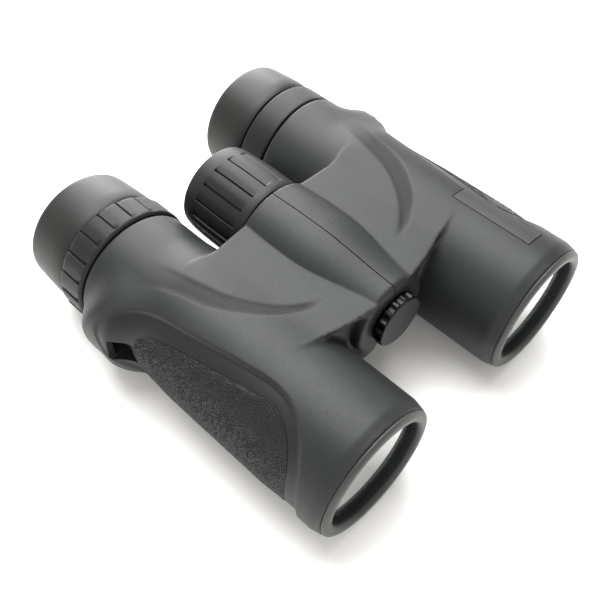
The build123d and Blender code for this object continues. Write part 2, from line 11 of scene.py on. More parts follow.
import bpy
import numpy as np
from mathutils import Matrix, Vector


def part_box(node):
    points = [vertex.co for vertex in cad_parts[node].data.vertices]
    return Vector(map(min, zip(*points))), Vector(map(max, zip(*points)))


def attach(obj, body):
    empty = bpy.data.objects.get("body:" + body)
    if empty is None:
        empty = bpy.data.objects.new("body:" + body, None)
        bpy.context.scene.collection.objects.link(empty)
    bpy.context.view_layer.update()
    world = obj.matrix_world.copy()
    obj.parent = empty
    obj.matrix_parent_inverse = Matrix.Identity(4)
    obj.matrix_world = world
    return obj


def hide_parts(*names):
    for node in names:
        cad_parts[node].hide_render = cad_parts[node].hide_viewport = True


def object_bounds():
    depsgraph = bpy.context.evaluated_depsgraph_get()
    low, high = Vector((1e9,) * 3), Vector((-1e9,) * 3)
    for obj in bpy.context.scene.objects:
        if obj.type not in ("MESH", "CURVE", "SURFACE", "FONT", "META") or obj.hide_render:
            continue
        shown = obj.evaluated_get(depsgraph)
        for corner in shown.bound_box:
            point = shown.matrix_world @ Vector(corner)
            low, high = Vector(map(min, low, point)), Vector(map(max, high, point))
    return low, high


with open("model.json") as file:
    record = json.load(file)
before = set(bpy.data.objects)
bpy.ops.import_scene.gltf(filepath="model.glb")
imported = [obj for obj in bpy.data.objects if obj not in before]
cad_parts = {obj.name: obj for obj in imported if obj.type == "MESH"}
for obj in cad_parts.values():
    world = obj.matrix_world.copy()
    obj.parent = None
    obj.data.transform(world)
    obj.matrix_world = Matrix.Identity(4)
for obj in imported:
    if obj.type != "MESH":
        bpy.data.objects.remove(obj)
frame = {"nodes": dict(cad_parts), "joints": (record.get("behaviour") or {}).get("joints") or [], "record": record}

import openvdb
from mathutils import Matrix, Vector

cad_box = [list(corner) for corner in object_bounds()]

MM = 0.001
SIDES = (("left", 1), ("right", -1))
FRONT = cad_box[0][1] / MM
housing_low, housing_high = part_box("left_housing")
SPACING = (housing_low.x + housing_high.x) / 2 / MM
AXIS = (housing_low.z + housing_high.z) / 2 / MM
joint_places = {joint["name"]: joint.get("pos_m") for joint in frame["joints"]}
HINGE_RISE = joint_places["central_hinge"][2] / MM - AXIS


# ------------------------------------------------------------------ small maths
def ramp(low, high, value):
    """Smooth step from 0 at low to 1 at high; low may be the larger."""
    t = np.clip((value - low) / (high - low), 0, 1)
    return t * t * (3 - 2 * t)


def join_smooth(a, b, width):
    """Union of two distance fields with a fillet about as wide as the given width."""
    h = np.clip(0.5 + 0.5 * (b - a) / width, 0, 1)
    return b + (a - b) * h - width * h * (1 - h)


def cut_smooth(a, b, width):
    """Intersection of two distance fields with a rounded edge."""
    return -join_smooth(-a, -b, width)


def closed_curve(points, steps=16):
    """A closed Catmull-Rom curve through the points."""
    p = np.array(points, float)
    before, after, last = np.roll(p, 1, 0), np.roll(p, -1, 0), np.roll(p, -2, 0)
    t = (np.arange(steps) / steps)[None, :, None]
    a, b, c, d = (q[:, None, :] for q in (before, p, after, last))
    curve = b + 0.5 * t * (c - a + t * (2 * a - 5 * b + 4 * c - d + t * (3 * (b - c) + d - a)))
    return curve.reshape(-1, 2)


def look_up(grid, p, q):
    """Values of a grid at fractional row p and column q, held at its edges."""
    p = np.clip(p, 0, grid.shape[0] - 1.001)
    q = np.clip(q, 0, grid.shape[1] - 1.001)
    i, j = p.astype(int), q.astype(int)
    f, g = p - i, q - j
    near = grid[i, j] * (1 - g) + grid[i, j + 1] * g
    far = grid[i + 1, j] * (1 - g) + grid[i + 1, j + 1] * g
    return near * (1 - f) + far * f


class OutlineMap:
    """Signed distance to a closed outline, negative inside, looked up from a fine grid."""

    def __init__(self, outline, low, high, cell=0.35):
        self.low, self.cell = np.array(low, float), cell
        axes = [np.arange(a, b + cell, cell) for a, b in zip(low, high)]
        u, v = np.meshgrid(*axes, indexing="ij")
        distance = np.full(u.shape, np.inf)
        crossings = np.zeros(u.shape, int)
        for (ax, ay), (bx, by) in zip(outline, np.roll(outline, -1, 0)):
            ex, ey = bx - ax, by - ay
            t = np.clip(((u - ax) * ex + (v - ay) * ey) / (ex * ex + ey * ey + 1e-12), 0, 1)
            distance = np.minimum(distance, np.hypot(u - ax - t * ex, v - ay - t * ey))
            spans = (ay > v) != (by > v)
            across = ax + (v - ay) * ex / (ey if ey else 1e-12)
            crossings += spans & (u < across)
        self.values = np.where(crossings % 2 == 1, -distance, distance)

    def __call__(self, u, v):
        return look_up(self.values, (u - self.low[0]) / self.cell, (v - self.low[1]) / self.cell)


# ------------------------------------------------------------------ mesh helpers
def make_object(name, vertices, faces, smooth_angle=35):
    """A mesh object with smooth shading and edges sharper than the angle kept crisp."""
    mesh = bpy.data.meshes.new(name)
    if isinstance(faces, np.ndarray):
        faces = faces.tolist()
    mesh.from_pydata(np.asarray(vertices, float).tolist(), [], faces)
    piece = bpy.data.objects.new(name, mesh)
    bpy.context.scene.collection.objects.link(piece)
    crisp(mesh, smooth_angle)
    return piece


def crisp(mesh, angle):
    """Smooth shading, with edges sharper than the angle in degrees kept crisp."""
    mesh.shade_smooth()
    mesh.set_sharp_from_angle(angle=math.radians(angle))


def to_row(side, x, y, z):
    """Points in metres in the CAD frame from seam distance, depth and height."""
    return np.stack([side * np.asarray(x), FRONT + np.asarray(y), AXIS + np.asarray(z)], -1) * MM


def traced(corners, step=1.0):
    """A closed outline from (radius, y, fillet) corners, rounded and cut into short steps."""
    outline = []
    count = len(corners)
    for k, (r, y, fillet) in enumerate(corners):
        here = np.array([r, y], float)
        back = np.array(corners[k - 1][:2], float) - here
        ahead = np.array(corners[(k + 1) % count][:2], float) - here
        back_length, ahead_length = np.linalg.norm(back), np.linalg.norm(ahead)
        if fillet <= 0:
            outline.append(here)
            continue
        reach = min(fillet, 0.49 * back_length, 0.49 * ahead_length)
        start, end = here + back / back_length * reach, here + ahead / ahead_length * reach
        for t in np.linspace(0, 1, 7):
            outline.append((1 - t) ** 2 * start + 2 * t * (1 - t) * here + t * t * end)
    dense = []
    for a, b in zip(outline, outline[1:] + outline[:1]):
        pieces = max(1, math.ceil(np.linalg.norm(b - a) / step))
        dense += [a + (b - a) * i / pieces for i in range(pieces)]
    return np.array(dense)


def lathe(name, x, z, corners, angles=180, step=1.5, relief=None, smooth_angle=35):
    """A ring turned round the Y-parallel axis through (x, z), with an optional relief."""
    profile = traced(corners, step)
    theta = angles
    if np.isscalar(angles):
        theta = np.radians(np.linspace(0, 360, angles, endpoint=False))
    r = np.repeat(profile[:, :1], len(theta), 1)
    y = np.repeat(profile[:, 1:], len(theta), 1)
    t = np.repeat(theta[None, :], len(profile), 0)
    if relief is not None:
        r = relief(r, y, np.degrees(t))
    points = to_row(1, x + r * np.cos(t), y, z + r * np.sin(t)).reshape(-1, 3)
    rows, columns = len(profile), len(theta)
    i, j = np.meshgrid(np.arange(rows), np.arange(columns), indexing="ij")
    k, m = (i + 1) % rows, (j + 1) % columns
    faces = np.stack([i * columns + j, i * columns + m, k * columns + m, k * columns + j], -1)
    faces = faces.reshape(-1, 4)
    radius, depth = profile.T
    area = np.sum(radius * np.roll(depth, -1) - np.roll(radius, -1) * depth)
    if area > 0:
        faces = faces[:, ::-1]
    return make_object(name, points, faces, smooth_angle)


def prism(name, side, outline, start, end, plane="XZ"):
    """A closed block from an outline: (x, z) run along y, or (y, z) run along x."""
    points = []
    for depth in (start, end):
        for a, b in outline:
            points.append((a, depth, b) if plane == "XZ" else (depth, a, b))
    points = np.array(points, float)
    count = len(outline)
    sides = [[k, (k + 1) % count, count + (k + 1) % count, count + k] for k in range(count)]
    faces = [list(range(count))[::-1], [count + k for k in range(count)]] + sides
    block = make_object(name, to_row(side, *points.T), faces)
    face_outward(block.data)
    return block


def face_outward(mesh):
    """Turn a closed mesh inside out if its volume comes out negative."""
    count = len(mesh.vertices)
    points = np.zeros(count * 3)
    mesh.vertices.foreach_get("co", points)
    points = points.reshape(-1, 3)
    mesh.calc_loop_triangles()
    corners = np.zeros(len(mesh.loop_triangles) * 3, int)
    mesh.loop_triangles.foreach_get("vertices", corners)
    a, b, c = points[corners.reshape(-1, 3)].transpose(1, 0, 2)
    if np.einsum("ij,ij->i", a, np.cross(b, c)).sum() < 0:
        mesh.flip_normals()


def carve(piece, cutters):
    """Subtract the cutters and throw them away."""
    for cutter in cutters:
        modifier = piece.modifiers.new("carve", "BOOLEAN")
        modifier.operation = "DIFFERENCE"
        modifier.solver = "MANIFOLD"
        modifier.object = cutter
    bpy.context.view_layer.update()
    graph = bpy.context.evaluated_depsgraph_get()
    carved = bpy.data.meshes.new_from_object(piece.evaluated_get(graph))
    piece.modifiers.clear()
    piece.data = carved
    for cutter in cutters:
        bpy.data.objects.remove(cutter)


# ------------------------------------------------------------------ armour
TUBE = 22.0
NECK = 20.55
RIM_END = 1.5
ARMOUR_REAR = 100.0
SLOT_REAR = 99.0
ARC = math.radians(TUBE)        # millimetres of arc per degree on the tube
CHANNEL_DEPTH = 1.05
PLATEAU_TOP = 20.3
GROOVE_DEPTH = 0.4
PLATEAU_FRONT = 28.0
PLATEAU_REAR = 75.8
HOOD_BORE = 17.3
HOOD_END = 4.0
TUBE_BORE = 20.03
NECK_BORE = 18.33
PAST_REAR = 103.0

# (y, degrees) corners of the sunk channel round the grip, and of the grip itself
CHANNEL = [(87.5, 21), (82.7, 36), (76.6, 48), (69.8, 54.5), (62.3, 58), (50, 64), (39, 69),
           (31, 71.5), (24.5, 69), (18.6, 60), (14, 46), (11, 28), (9.5, 5), (9.5, -18),
           (12, -40), (17, -55), (25, -64), (35, -67), (46, -62), (58, -54), (68, -44),
           (75, -31), (79, -17), (83.5, -4), (87.3, 8)]
GRIP_FRONT = [(-54, 27), (-50, 22.6), (-42, 19), (-30, 16.2), (-12, 14.8), (8, 14.6), (27, 15.5),
              (39, 17.4), (50, 20.6), (57, 24), (60, 28)]
GRIP_REAR = [(-54, 33), (-50, 43), (-42, 55), (-32, 64), (-20, 69.5), (-7, 72.7), (6, 75.4),
             (16, 76.8), (22, 76.2), (31, 72.6), (38, 67.4), (46, 55), (53, 41.4), (57, 34),
             (60, 29.5)]
# (x, y) corners of the crescent groove on the plateau
CRESCENT = [(14.4, 40.2), (20, 40.4), (26, 43.4), (31.5, 47.6), (36.5, 53.6), (40.4, 61), (42.6, 69),
            (45.5, 77.4), (49.5, 85), (55, 91), (48, 94), (42.5, 91), (40.3, 86), (38.4, 78),
            (36, 68), (33.6, 60), (29.3, 52.5), (24.4, 46.6), (19.4, 42.8)]

channel_map = OutlineMap(closed_curve([(y, phi * ARC) for y, phi in CHANNEL]), (0, -36), (101, 36))
crescent_map = OutlineMap(closed_curve(CRESCENT), (8, 30), (64, 101))


def shoulder_height(y, phi):
    """How far the shoulder and the strap lobe stand over the neck."""
    across = ramp(80, 22, np.abs(phi + 12))
    middle = ramp(60, 12, np.abs(phi + 12))
    rise = ramp(71 + 3.5 * middle, 84.5, y)
    fall = ramp(96.8 + 4.4 * middle, 86.5 + 6.5 * middle, y)
    return 5.2 * across * rise * fall


def tube_radius(y, phi):
    """Radius of the rubber round a barrel, with the neck, the shoulder and the sunk channel."""
    radius = TUBE - (TUBE - NECK) * ramp(71, 88, y) + shoulder_height(y, phi)
    radius -= 0.75 * ramp(5.5, 1.5, y)
    sunk = ramp(0.2, -1.3, channel_map(y, phi * ARC)) * (np.abs(phi) < 89)
    depth = CHANNEL_DEPTH - 0.5 * ramp(77, 83, y)
    return radius - depth * sunk


def crescent_depth(x, y, z):
    """Depth of the crescent groove on top, fading towards the shoulder and the hinge."""
    inside = ramp(0.6, -1.4, crescent_map(x, y))
    return GROOVE_DEPTH * inside * ramp(87, 68, y) * ramp(14, 22, x) * ramp(5, 12, z)


def armour_field(x, y, z):
    """Distance to the rubber's outer surface, negative inside."""
    along = x - SPACING
    phi = np.degrees(np.arctan2(z, along))
    tube = np.hypot(along, z) - tube_radius(y, phi)
    tube = cut_smooth(tube, RIM_END - y, 0.6)
    tube = cut_smooth(tube, y - ARMOUR_REAR, 0.9)

    # sheet between barrel and hinge, hollowed below its front crest
    below = PLATEAU_TOP - z
    plan = PLATEAU_FRONT + 0.1 * (x - 7) + 0.0068 * (x - 7) ** 2
    scoop = 2.4 * ramp(0.2, 5, below) * ramp(9, 15, x)
    sheet = cut_smooth(z - PLATEAU_TOP, plan + scoop - y, 0.6)
    sheet = cut_smooth(sheet, y - PLATEAU_REAR + 0.07 * (x - 12), 0.8)
    floor = -9.6 + 0.42 * np.maximum(21.5 - x, 0)
    sheet = cut_smooth(sheet, floor - z, 2.0)

    # hinge cover, turned round the hinge axis
    cover_radius = 13.1 + 3.0 * ramp(26, 58, y) - 0.35 * ramp(64, 78, y)
    cover = np.hypot(x / 1.06, z - HINGE_RISE) - cover_radius
    cover = cut_smooth(cover, PLATEAU_FRONT - y, 1.6)
    cover = cut_smooth(cover, y - 76.0, 0.6)

    web = join_smooth(sheet, cover, 0.3)
    body = join_smooth(tube, cut_smooth(web, x - SPACING + 1.0, 5.0), 2.6)
    return body + crescent_depth(x, y, z)


def armour_surface():
    """Quads on the armour's outer surface, drawn onto the exact surface after meshing."""
    voxel = 0.5
    low, high = np.array([-2.0, 0.0, -24.0]), np.array([65.0, 102.0, 27.0])
    axes = [np.arange(a, b, voxel) for a, b in zip(low, high)]
    field = armour_field(*np.meshgrid(*axes, indexing="ij"))
    grid = openvdb.FloatGrid(5.0)
    grid.copyFromArray(field.astype(np.float32))
    points, quads = grid.convertToQuads(isovalue=0.0)
    points = points.astype(float) * voxel + low
    eps = 0.05
    for _ in range(3):
        x, y, z = points.T
        value = armour_field(x, y, z)
        slope = np.stack([
            armour_field(x + eps, y, z) - armour_field(x - eps, y, z),
            armour_field(x, y + eps, z) - armour_field(x, y - eps, z),
            armour_field(x, y, z + eps) - armour_field(x, y, z - eps),
        ], -1) / (2 * eps)
        steep = np.maximum((slope ** 2).sum(-1), 0.3)
        move = np.clip(value / steep, -voxel, voxel)
        points -= slope * move[:, None]
    return points, quads.astype(int)


def sector_block(name, side, middle, span, inner, outer, start, end):
    """A closed curved plate round a barrel, used as a cutter."""
    phi = np.radians(np.linspace(middle - span / 2, middle + span / 2, 13))
    outline = [(SPACING + inner * np.cos(p), inner * np.sin(p)) for p in phi]
    outline += [(SPACING + outer * np.cos(p), outer * np.sin(p)) for p in phi[::-1]]
    return prism(name, side, outline, start, end)


def wedge_point(distance, inset=0):
    """A point so far from the hinge axis, on or behind the line where a half is cut back."""
    angle = math.radians(31)
    return (distance * math.sin(angle) + inset * math.cos(angle),
            HINGE_RISE - distance * math.cos(angle) + inset * math.sin(angle))


BRIDGE = [(1.45, 17.95), (30.0, 17.95), (37.0, 8.0), (37.0, -8.0), (20.0, -7.05),
          wedge_point(12.5, 1.25), wedge_point(9.0, 1.25)]
KNUCKLE_WEB = [(0.3, 17.05), (12.05, 17.05), (12.05, 2.0), wedge_point(9.0, -0.1), (2.0, 6.0)]
KNUCKLE_SPANS = {"left": ((39.1, 44.0), (64.8, 74.5)), "right": ((44.5, 50.2),)}


def armour_cutters(name, side):
    """Everything that is hollow, split or cut through in one half's rubber."""
    seam = 0.15
    cutters = [
        lathe("bore", side * SPACING, 0, [
            (0.01, -2, 0), (HOOD_BORE, -2, 0), (HOOD_BORE, HOOD_END, 0), (TUBE_BORE, HOOD_END, 0),
            (TUBE_BORE, 72.0, 0), (NECK_BORE, 72.0, 0), (NECK_BORE, PAST_REAR, 0),
            (0.01, PAST_REAR, 0)], step=200),
        lathe("hinge_room", 0, HINGE_RISE, [
            (0.01, 10, 0), (8.2, 10, 0), (8.2, 38.8, 0), (9.6, 38.8, 0), (9.6, PAST_REAR, 0),
            (0.01, PAST_REAR, 0)], step=200),
        prism("bridge_room", side, BRIDGE, 37.95, 73.05),
        prism("seam_cut", side, [(seam, 60), (seam, HINGE_RISE), wedge_point(60), (-70, -60),
                                 (-70, 60)], -5, 110),
    ]
    for start, end in KNUCKLE_SPANS[name]:
        cutters.append(prism("knuckle_room", side, KNUCKLE_WEB, start - 0.05, end + 0.05))
    floor, under_bar = SPACING + 18.9, SPACING + 23.0
    mouth = [(77.2, 5.5), (82.0, 5.3), (82.7, 4.6), (82.7, -2.6), (81.9, -3.4), (73.2, -3.4),
             (72.8, -2.6), (74.0, 0.5), (75.6, 3.8)]
    tunnel = [(74.2, 5.2), (SLOT_REAR, 5.2), (SLOT_REAR, -3.3), (74.2, -3.3)]
    cutters += [
        prism("slot_mouth", side, mouth, floor, 70, "YZ"),
        prism("slot_tunnel", side, tunnel, floor + 0.01, under_bar, "YZ"),
    ]
    if name == "left":
        cutters.append(sector_block("plate_room", side, 76.5, 20.6, 21.35, 24, 10.05, 37.95))
    return cutters


def make_armour(name, side, surface):
    """The rubber shell of one half, hollowed, split at the seam and given its sunk areas, where the rubber is
    darkened as painted shade.
    """
    points, quads = surface
    shell = make_object(f"{name}_armour_shell", to_row(side, *points.T), quads)
    face_outward(shell.data)
    carve(shell, armour_cutters(name, side))
    shell.name = f"{name}_armour_shell"
    crisp(shell.data, 38)
    paint_sunk_shade_and_finish(shell.data, side)
    return shell


def paint_sunk_shade_and_finish(mesh, side):
    """Store how sunk each point is in the channel and in the crescent groove, for the rubber's colour and
    roughness: the colour darkens there as painted shade, partly standing for a darker matte finish.
    """
    count = len(mesh.vertices)
    points = np.zeros(count * 3)
    mesh.vertices.foreach_get("co", points)
    x, y, z = points.reshape(-1, 3).T / MM
    x, y, z = side * x, y - FRONT, z - AXIS
    phi = np.degrees(np.arctan2(z, x - SPACING))
    sunk = ramp(0.3, -0.7, channel_map(y, phi * ARC)) * (np.abs(phi) < 89)
    groove = ramp(0.3, -0.6, crescent_map(x, y)) * ramp(87, 68, y) * ramp(14, 22, x) * (z > 5)
    # red marks the sunk channel and green the crescent groove; both darken the rubber as painted shade
    values = np.stack([sunk, groove, np.zeros(count), np.ones(count)], -1)
    layer = mesh.color_attributes.new("sunk_shade_and_finish", "FLOAT_COLOR", "POINT")
    layer.data.foreach_set("color", values.ravel())


# ------------------------------------------------------------------ grips
def wrinkle_sheet(rows, columns, cell, wavelength, seed):
    """Leather-like wrinkles: noise kept to one band of wavelengths, between -1 and 1."""
    noise = np.random.default_rng(seed).standard_normal((rows, columns))
    fu = np.fft.fftfreq(rows, cell)[:, None]
    fv = np.fft.fftfreq(columns, cell)[None, :]
    frequency = np.hypot(fu, fv) * wavelength
    band = np.exp(-((frequency - 1) / 0.28) ** 2)
    sheet = np.real(np.fft.ifft2(np.fft.fft2(noise) * band))
    return np.tanh(1.1 * sheet / sheet.std())


def make_grip(name, side, seed):
    """The grained rubber pad of one half, standing just proud in its channel."""
    rows, columns = ((236, 328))
    phi_low, phi_high = GRIP_FRONT[0][0], GRIP_FRONT[-1][0]
    phi = np.linspace(phi_low, phi_high, rows)
    edges = []
    for table in (GRIP_FRONT, GRIP_REAR):
        knots = np.array(table, float)
        fine = np.linspace(phi_low, phi_high, 400)
        raw = np.interp(fine, knots[:, 0], knots[:, 1])
        kernel = np.hanning(33)
        padded = np.pad(raw, 16, mode="edge")
        edges.append(np.interp(phi, fine, np.convolve(padded, kernel / kernel.sum(), "valid")))
    front_edge, rear_edge = edges
    t = np.linspace(0, 1, columns)
    y = front_edge[:, None] + (rear_edge - front_edge)[:, None] * t[None, :]
    p = np.repeat(phi[:, None], columns, 1)
    lean = [1 / np.hypot(1, np.gradient(edge, phi * ARC)) for edge in edges]
    border = np.minimum((y - front_edge[:, None]) * lean[0][:, None],
                        (rear_edge[:, None] - y) * lean[1][:, None])
    border = np.minimum(border, (p - phi_low) * ARC)
    border = np.minimum(border, (phi_high - p) * ARC)
    cell = 0.15
    sheet = wrinkle_sheet(560, 460, cell, 0.85, seed)
    wrinkles = look_up(sheet, y / cell, (p + 70) * ARC / cell)
    height = 21.6 - 0.5 * ramp(9.0, 0.0, border)
    height += 0.2 * wrinkles * ramp(-0.1, 0.5, border) * (0.25 + 0.75 * ramp(56, 20, p))
    inner = 20.7
    top = to_row(side, SPACING + height * np.cos(np.radians(p)), y, height * np.sin(np.radians(p)))
    ends = y[:, [0, -1]]
    q = p[:, [0, -1]]
    base = to_row(side, SPACING + inner * np.cos(np.radians(q)), ends, inner * np.sin(np.radians(q)))
    points = np.concatenate([top.reshape(-1, 3), base.reshape(-1, 3)])
    i, j = np.meshgrid(np.arange(rows - 1), np.arange(columns - 1), indexing="ij")
    a = i * columns + j
    faces = np.stack([a, a + 1, a + columns + 1, a + columns], -1).reshape(-1, 4).tolist()
    foot = rows * columns
    for k in range(rows - 1):
        low_front, low_rear = foot + 2 * k, foot + 2 * k + 1
        faces.append([low_front, low_front + 2, low_rear + 2, low_rear])
        faces.append([k * columns, (k + 1) * columns, low_front + 2, low_front])
        last = k * columns + columns - 1
        faces.append([low_rear, low_rear + 2, last + columns, last])
    faces.append(list(range(columns)) + [foot + 1, foot])
    top_row = (rows - 1) * columns
    faces.append([foot + 2 * rows - 2, foot + 2 * rows - 1]
                 + [top_row + columns - 1 - k for k in range(columns)])
    pad = make_object(f"{name}_grip", points, faces, 60)
    face_outward(pad.data)
    return pad


# ------------------------------------------------------------------ turned pieces
WHEEL_PADS = 17
PAD_START = 87.0                # degrees round the hinge axis of the first pad's drop
DIOPTER_RIBS = 19
RIB_START = 117.8               # degrees round the right barrel of the first rib's drop
CAP_SCALLOPS = 16
RELIEF_REACH = 3.5              # only points this near the outside carry a relief
EYECUP_BORE = 18.66
GLASS_FACE = 15.95              # radius of the front glass where it stands through its ring
GLASS_EDGE = 16.9


def stepped(count, first, depth, start, end, groove=0.35, notched=False):
    """Finger pads: each rises over half its pitch and drops sharply into a fine groove."""
    pitch = 360 / count

    def relief(r, y, degrees):
        u = np.mod((degrees - first) / pitch, 1)
        toe = 0.8 * ramp(0.6, 0.93, u) * (u < 0.975) * ramp(start + 1.3, start + 1.0, y) * notched
        slope = ramp(0.35, 0.95, u) * (u < 0.975)
        line = ramp(0.86, 0.91, u) * ramp(0.999, 0.965, u)
        window = ramp(start - 0.15, start + 0.15, y) * ramp(end + 0.15, end - 0.15, y)
        outer = r > r.max() - RELIEF_REACH
        return r - np.maximum(depth * slope + groove * line, toe) * window * outer
    return relief


def pad_angles(count, first):
    """Angles that fall on both sides of every pad's drop."""
    pitch = 360 / count
    u = np.concatenate([np.linspace(0, 0.84, 12), np.linspace(0.86, 0.99, 11)])
    degrees = first + (np.arange(count)[:, None] + u[None, :]) * pitch
    return np.radians(degrees.ravel())


def make_wheel_grip():
    """The rubber sleeve of the focus wheel."""
    front, rear = 76.8, 102.0
    corners = [(13.05, front, 0), (14.8, front, 0.35), (15.15, front + 1.2, 0.8), (15.42, 84, 3),
               (15.45, 92, 4), (15.1, 98.6, 2.0), (14.5, rear, 2.4), (13.05, rear, 0)]
    return lathe("wheel_grip", 0, HINGE_RISE, corners, pad_angles(WHEEL_PADS, PAD_START), 0.4,
                 stepped(WHEEL_PADS, PAD_START, 0.4, 80.0, 96.4, 0.75), 32)


def make_diopter_ring():
    """The ribbed ring round the right eyepiece."""
    corners = [(16.1, 100.5, 0), (20.3, 100.5, 0.2), (20.9, 101.0, 0.3), (21.15, 101.6, 0.3),
               (21.15, 109.6, 0.3), (20.9, 110.3, 0.3), (16.1, 110.3, 0)]
    return lathe("diopter_ring", -SPACING, 0, corners, pad_angles(DIOPTER_RIBS, RIB_START), 0.4,
                 stepped(DIOPTER_RIBS, RIB_START, 0.3, 101.6, 112.0, 0.5, True), 32)


def make_left_ring():
    """The plain collar round the left eyepiece."""
    corners = [(16.1, 100.55, 0), (20.1, 100.55, 0.3), (20.45, 101.0, 0.4), (20.45, 109.6, 0.5),
               (20.0, 110.2, 0.4), (16.1, 110.2, 0)]
    return lathe("left_eyepiece_collar", SPACING, 0, corners, 240, 2.0)


def make_eyecup(name, side):
    """The rubber of one eyecup, rolled in at the eye end."""
    corners = [(EYECUP_BORE, 111.0, 0), (19.7, 111.0, 0.3), (20.15, 112.2, 1.5), (20.35, 114.8, 3),
               (20.15, 119, 4), (19.8, 124, 3), (19.35, 128.35, 2.3), (15.4, 128.35, 1.6),
               (14.05, 126.06, 0.3), (EYECUP_BORE, 126.06, 0)]
    return lathe(f"{name}_eyecup", side * SPACING, 0, corners, 240, 1.0)


def make_rim(name, side):
    """The rounded lip in front of each objective, with a fine crease behind it."""
    corners = [(17.32, 3.95, 0), (17.32, 0.9, 0.5), (18.1, 0.05, 0.9), (19.9, 0.05, 1.0),
               (21.0, 0.85, 0.9), (20.98, 1.42, 0.2), (20.4, 1.7, 0.1), (20.4, 3.95, 0)]
    return lathe(f"{name}_rim", side * SPACING, 0, corners, 240, 1.0)


def make_front_glass(name, side):
    """The objective's front glass: its nearly flat face stands through the ring into the hood."""
    steps = np.linspace(0.001, 1, 24)
    corners = [(GLASS_FACE * t, 3.0 - 0.1 * (1 - t * t), 0) for t in steps]
    corners += [(GLASS_FACE, 5.1, 0), (GLASS_EDGE, 5.1, 0)]
    corners += [(GLASS_EDGE * t, 8.1 + 1.6 * (1 - t * t), 0) for t in steps[::-1]]
    return lathe(f"{name}_front_glass", side * SPACING, 0, corners, 180, 200)


def make_cap():
    """The scalloped cap of the tripod socket, with its spigot."""
    def scallops(r, y, degrees):
        wave = np.abs(np.cos(np.radians(degrees) * CAP_SCALLOPS / 2))
        bite = 0.6 * ramp(0.3, 1.0, wave) * ramp(24.45, 24.9, y) * (r > 8.0)
        return r - bite

    corners = [(0.02, 24.2, 0), (8.05, 24.2, 0.25), (8.5, 24.45, 0.2), (8.85, 24.9, 0.3),
               (8.85, 27.1, 0.4), (8.3, 27.7, 0.3), (3.85, 27.7, 0.2), (3.85, 30.1, 0.5),
               (0.02, 30.1, 0)]
    return lathe("socket_cap", 0, HINGE_RISE, corners, 480, 0.5, scallops, 45)


# ------------------------------------------------------------------ materials
def new_material(name, color, roughness, specular=0.5):
    """A principled material; returns it with its node tree and shader."""
    material = bpy.data.materials.new(name)
    material.use_nodes = True
    tree = material.node_tree
    shader = tree.nodes["Principled BSDF"]
    shader.inputs["Base Color"].default_value = (*color, 1)
    shader.inputs["Roughness"].default_value = roughness
    shader.inputs["Specular IOR Level"].default_value = specular
    return material, tree, shader


def noise(tree, scale, detail=3.0, kind="ShaderNodeTexNoise"):
    """A noise pattern in object space, so many cells to the metre."""
    place = tree.nodes.new("ShaderNodeTexCoord")
    pattern = tree.nodes.new(kind)
    pattern.inputs["Scale"].default_value = scale
    if "Detail" in pattern.inputs:
        pattern.inputs["Detail"].default_value = detail
    tree.links.new(place.outputs["Object"], pattern.inputs["Vector"])
    return pattern


def spread(tree, value, low, high, out_low, out_high):
    """Map a socket's range from low..high to out_low..out_high."""
    node = tree.nodes.new("ShaderNodeMapRange")
    tree.links.new(value, node.inputs["Value"])
    ends = {"From Min": low, "From Max": high, "To Min": out_low, "To Max": out_high}
    for socket, number in ends.items():
        node.inputs[socket].default_value = number
    return node.outputs["Result"]


def mix_color(tree, factor, first, second):
    """Blend two colours, each a tuple or a socket, by a socket."""
    node = tree.nodes.new("ShaderNodeMix")
    node.data_type = "RGBA"
    tree.links.new(factor, node.inputs["Factor"])
    for socket, value in ((node.inputs[6], first), (node.inputs[7], second)):
        if isinstance(value, tuple):
            socket.default_value = (*value, 1)
        else:
            tree.links.new(value, socket)
    return node.outputs[2]


def combine(tree, operation, first, second):
    """One number from two sockets."""
    node = tree.nodes.new("ShaderNodeMath")
    node.operation = operation
    tree.links.new(first, node.inputs[0])
    tree.links.new(second, node.inputs[1])
    return node.outputs["Value"]


def add_bump(tree, shader, height, strength, distance):
    """Feed a height socket into the shader's normal."""
    bump = tree.nodes.new("ShaderNodeBump")
    bump.inputs["Strength"].default_value = strength
    bump.inputs["Distance"].default_value = distance
    tree.links.new(height, bump.inputs["Height"])
    tree.links.new(bump.outputs["Normal"], shader.inputs["Normal"])


